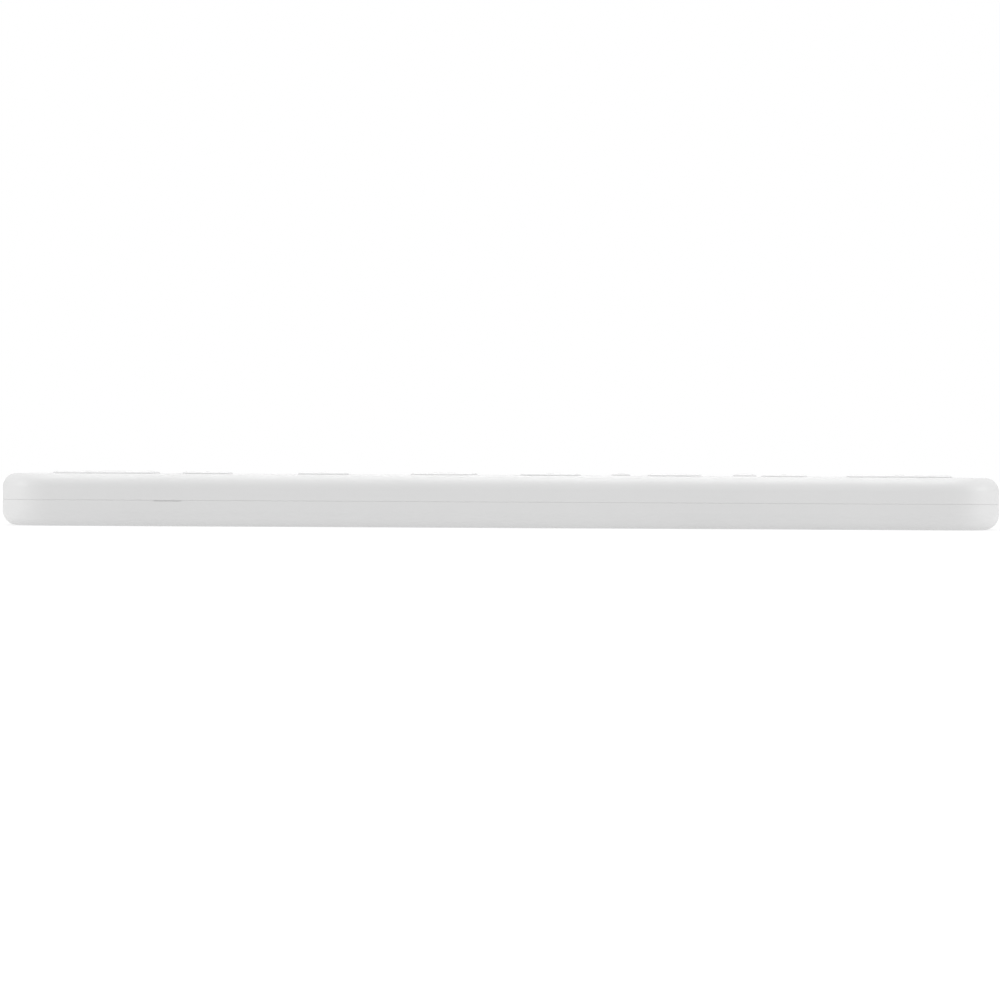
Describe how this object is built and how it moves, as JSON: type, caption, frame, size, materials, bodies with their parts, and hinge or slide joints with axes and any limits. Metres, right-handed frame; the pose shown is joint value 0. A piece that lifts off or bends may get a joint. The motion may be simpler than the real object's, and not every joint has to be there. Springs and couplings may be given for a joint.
{
  "type": "electronic paper reader",
  "caption": "Slim pocket reader with a paper-like screen in a two-part white shell, keys in the bezel, a rocker, a slider and a card slot.",
  "frame": {"origin": "middle of the back, on the surface that the reader lies on", "axes": "+X to the right side seen from the front, +Y to the top end, +Z out of the screen"},
  "size_m": [0.1204, 0.184, 0.01],
  "materials": {
    "white_shell": "fine satin texture, moulded",
    "white_key": "smooth satin, moulded",
    "grey_key": "satin, moulded",
    "grey_foam": "closed-cell foam",
    "paper_screen": "matt, fine grain",
    "thin_glass": "polished",
    "amber_ribbon": "satin polyimide",
    "magnesium_tray": "stamped, dull",
    "circuit_board": "satin solder mask",
    "black_moulding": "moulded, fine grain",
    "card_black": "satin",
    "component_grey": "fired, dull",
    "ivory_moulding": "moulded",
    "bright_steel": "pressed and plated",
    "dark_steel": "black passivated",
    "battery_foil": "laminated foil, satin",
    "red_wire": "satin",
    "clear_plastic": "clear",
    "brass_dome": "pressed, bright",
    "pale_rubber": "matt"
  },
  "bodies": {
    "case": {"front_cover": "white_shell", "rear_cover": "white_shell", "display_gasket": "grey_foam", "display_film": "paper_screen", "display_backplane": "thin_glass", "display_flex": "amber_ribbon", "chassis_tray": "magnesium_tray", "main_board": "circuit_board", "processor_chip": "black_moulding", "memory_chip": "black_moulding", "shield_can": "bright_steel", "board_components": "component_grey", "board_connectors": "ivory_moulding", "board_links": "black_moulding", "battery_pack": "battery_foil", "battery_wires": "red_wire", "usb_shell": "bright_steel", "usb_tongue": "black_moulding", "headphone_jack": "black_moulding", "card_cage": "bright_steel", "reset_switch": "black_moulding", "charge_led": "ivory_moulding", "light_pipe": "clear_plastic", "right_key_board": "circuit_board", "left_key_board": "circuit_board", "nav_key_board": "circuit_board", "snap_domes": "brass_dome", "power_board": "circuit_board", "power_switch": "bright_steel", "power_flex": "amber_ribbon", "volume_switches": "bright_steel", "case_screws": "dark_steel", "chassis_screws": "bright_steel", "board_screws": "bright_steel", "rubber_feet": "pale_rubber"},
    "page_back_key": {"page_back_key": "white_key"},
    "page_forward_key": {"page_forward_key": "white_key"},
    "soft_key_1": {"soft_key_1": "white_key"},
    "soft_key_2": {"soft_key_2": "white_key"},
    "soft_key_3": {"soft_key_3": "white_key"},
    "soft_key_4": {"soft_key_4": "white_key"},
    "soft_key_5": {"soft_key_5": "white_key"},
    "soft_key_6": {"soft_key_6": "white_key"},
    "left_page_back_key": {"left_page_back_key": "white_key"},
    "left_page_forward_key": {"left_page_forward_key": "white_key"},
    "sleep_button": {"sleep_button": "white_key"},
    "text_size_button": {"text_size_button": "white_key"},
    "nav_up_key": {"nav_up_key": "white_key"},
    "nav_down_key": {"nav_down_key": "white_key"},
    "nav_left_key": {"nav_left_key": "white_key"},
    "nav_right_key": {"nav_right_key": "white_key"},
    "select_key": {"select_key": "white_key"},
    "menu_key": {"menu_key": "white_key"},
    "back_key": {"back_key": "white_key"},
    "power_slider": {"power_slider": "grey_key", "power_switch_lever": "ivory_moulding"},
    "volume_rocker": {"volume_rocker": "white_key"},
    "memory_card": {"memory_card": "card_black"},
    "reset_plunger": {"reset_plunger": "ivory_moulding"}
  },
  "joints": [
    {"name": "page_back_key_press", "type": "slide", "parent": "case", "child": "page_back_key", "axis": [0, 0, -1], "range_m": [0, 0.00035], "stiffness_N_per_m": 1500},
    {"name": "page_forward_key_press", "type": "slide", "parent": "case", "child": "page_forward_key", "axis": [0, 0, -1], "range_m": [0, 0.00035], "stiffness_N_per_m": 1500},
    {"name": "soft_key_1_press", "type": "slide", "parent": "case", "child": "soft_key_1", "axis": [0, 0, -1], "range_m": [0, 0.00035], "stiffness_N_per_m": 1500},
    {"name": "soft_key_2_press", "type": "slide", "parent": "case", "child": "soft_key_2", "axis": [0, 0, -1], "range_m": [0, 0.00035], "stiffness_N_per_m": 1500},
    {"name": "soft_key_3_press", "type": "slide", "parent": "case", "child": "soft_key_3", "axis": [0, 0, -1], "range_m": [0, 0.00035], "stiffness_N_per_m": 1500},
    {"name": "soft_key_4_press", "type": "slide", "parent": "case", "child": "soft_key_4", "axis": [0, 0, -1], "range_m": [0, 0.00035], "stiffness_N_per_m": 1500},
    {"name": "soft_key_5_press", "type": "slide", "parent": "case", "child": "soft_key_5", "axis": [0, 0, -1], "range_m": [0, 0.00035], "stiffness_N_per_m": 1500},
    {"name": "soft_key_6_press", "type": "slide", "parent": "case", "child": "soft_key_6", "axis": [0, 0, -1], "range_m": [0, 0.00035], "stiffness_N_per_m": 1500},
    {"name": "left_page_back_key_press", "type": "slide", "parent": "case", "child": "left_page_back_key", "axis": [0, 0, -1], "range_m": [0, 0.00035], "stiffness_N_per_m": 1500},
    {"name": "left_page_forward_key_press", "type": "slide", "parent": "case", "child": "left_page_forward_key", "axis": [0, 0, -1], "range_m": [0, 0.00035], "stiffness_N_per_m": 1500},
    {"name": "sleep_button_press", "type": "slide", "parent": "case", "child": "sleep_button", "axis": [0, 0, -1], "range_m": [0, 0.00035], "stiffness_N_per_m": 1500},
    {"name": "text_size_button_press", "type": "slide", "parent": "case", "child": "text_size_button", "axis": [0, 0, -1], "range_m": [0, 0.00035], "stiffness_N_per_m": 1500},
    {"name": "nav_up_key_press", "type": "slide", "parent": "case", "child": "nav_up_key", "axis": [0, 0, -1], "range_m": [0, 0.00035], "stiffness_N_per_m": 1500},
    {"name": "nav_down_key_press", "type": "slide", "parent": "case", "child": "nav_down_key", "axis": [0, 0, -1], "range_m": [0, 0.00035], "stiffness_N_per_m": 1500},
    {"name": "nav_left_key_press", "type": "slide", "parent": "case", "child": "nav_left_key", "axis": [0, 0, -1], "range_m": [0, 0.00035], "stiffness_N_per_m": 1500},
    {"name": "nav_right_key_press", "type": "slide", "parent": "case", "child": "nav_right_key", "axis": [0, 0, -1], "range_m": [0, 0.00035], "stiffness_N_per_m": 1500},
    {"name": "select_key_press", "type": "slide", "parent": "case", "child": "select_key", "axis": [0, 0, -1], "range_m": [0, 0.00035], "stiffness_N_per_m": 1500},
    {"name": "menu_key_press", "type": "slide", "parent": "case", "child": "menu_key", "axis": [0, 0, -1], "range_m": [0, 0.00035], "stiffness_N_per_m": 1500},
    {"name": "back_key_press", "type": "slide", "parent": "case", "child": "back_key", "axis": [0, 0, -1], "range_m": [0, 0.00035], "stiffness_N_per_m": 1500},
    {"name": "power_slider_slide", "type": "slide", "parent": "case", "child": "power_slider", "axis": [1, 0, 0], "range_m": [0, 0.003], "stiffness_N_per_m": 250},
    {"name": "volume_rocker_tilt", "type": "hinge", "parent": "case", "child": "volume_rocker", "pos_m": [-0.0569, -0.045, 0.00475], "axis": [0, 0, 1], "range_deg": [-2.5, 2.5], "stiffness_Nm_per_rad": 0.12},
    {"name": "memory_card_slide", "type": "slide", "parent": "case", "child": "memory_card", "axis": [0, -1, 0], "range_m": [0, 0.014]},
    {"name": "reset_plunger_press", "type": "slide", "parent": "case", "child": "reset_plunger", "axis": [0, 1, 0], "range_m": [0, 0.00025], "stiffness_N_per_m": 800}
  ]
}
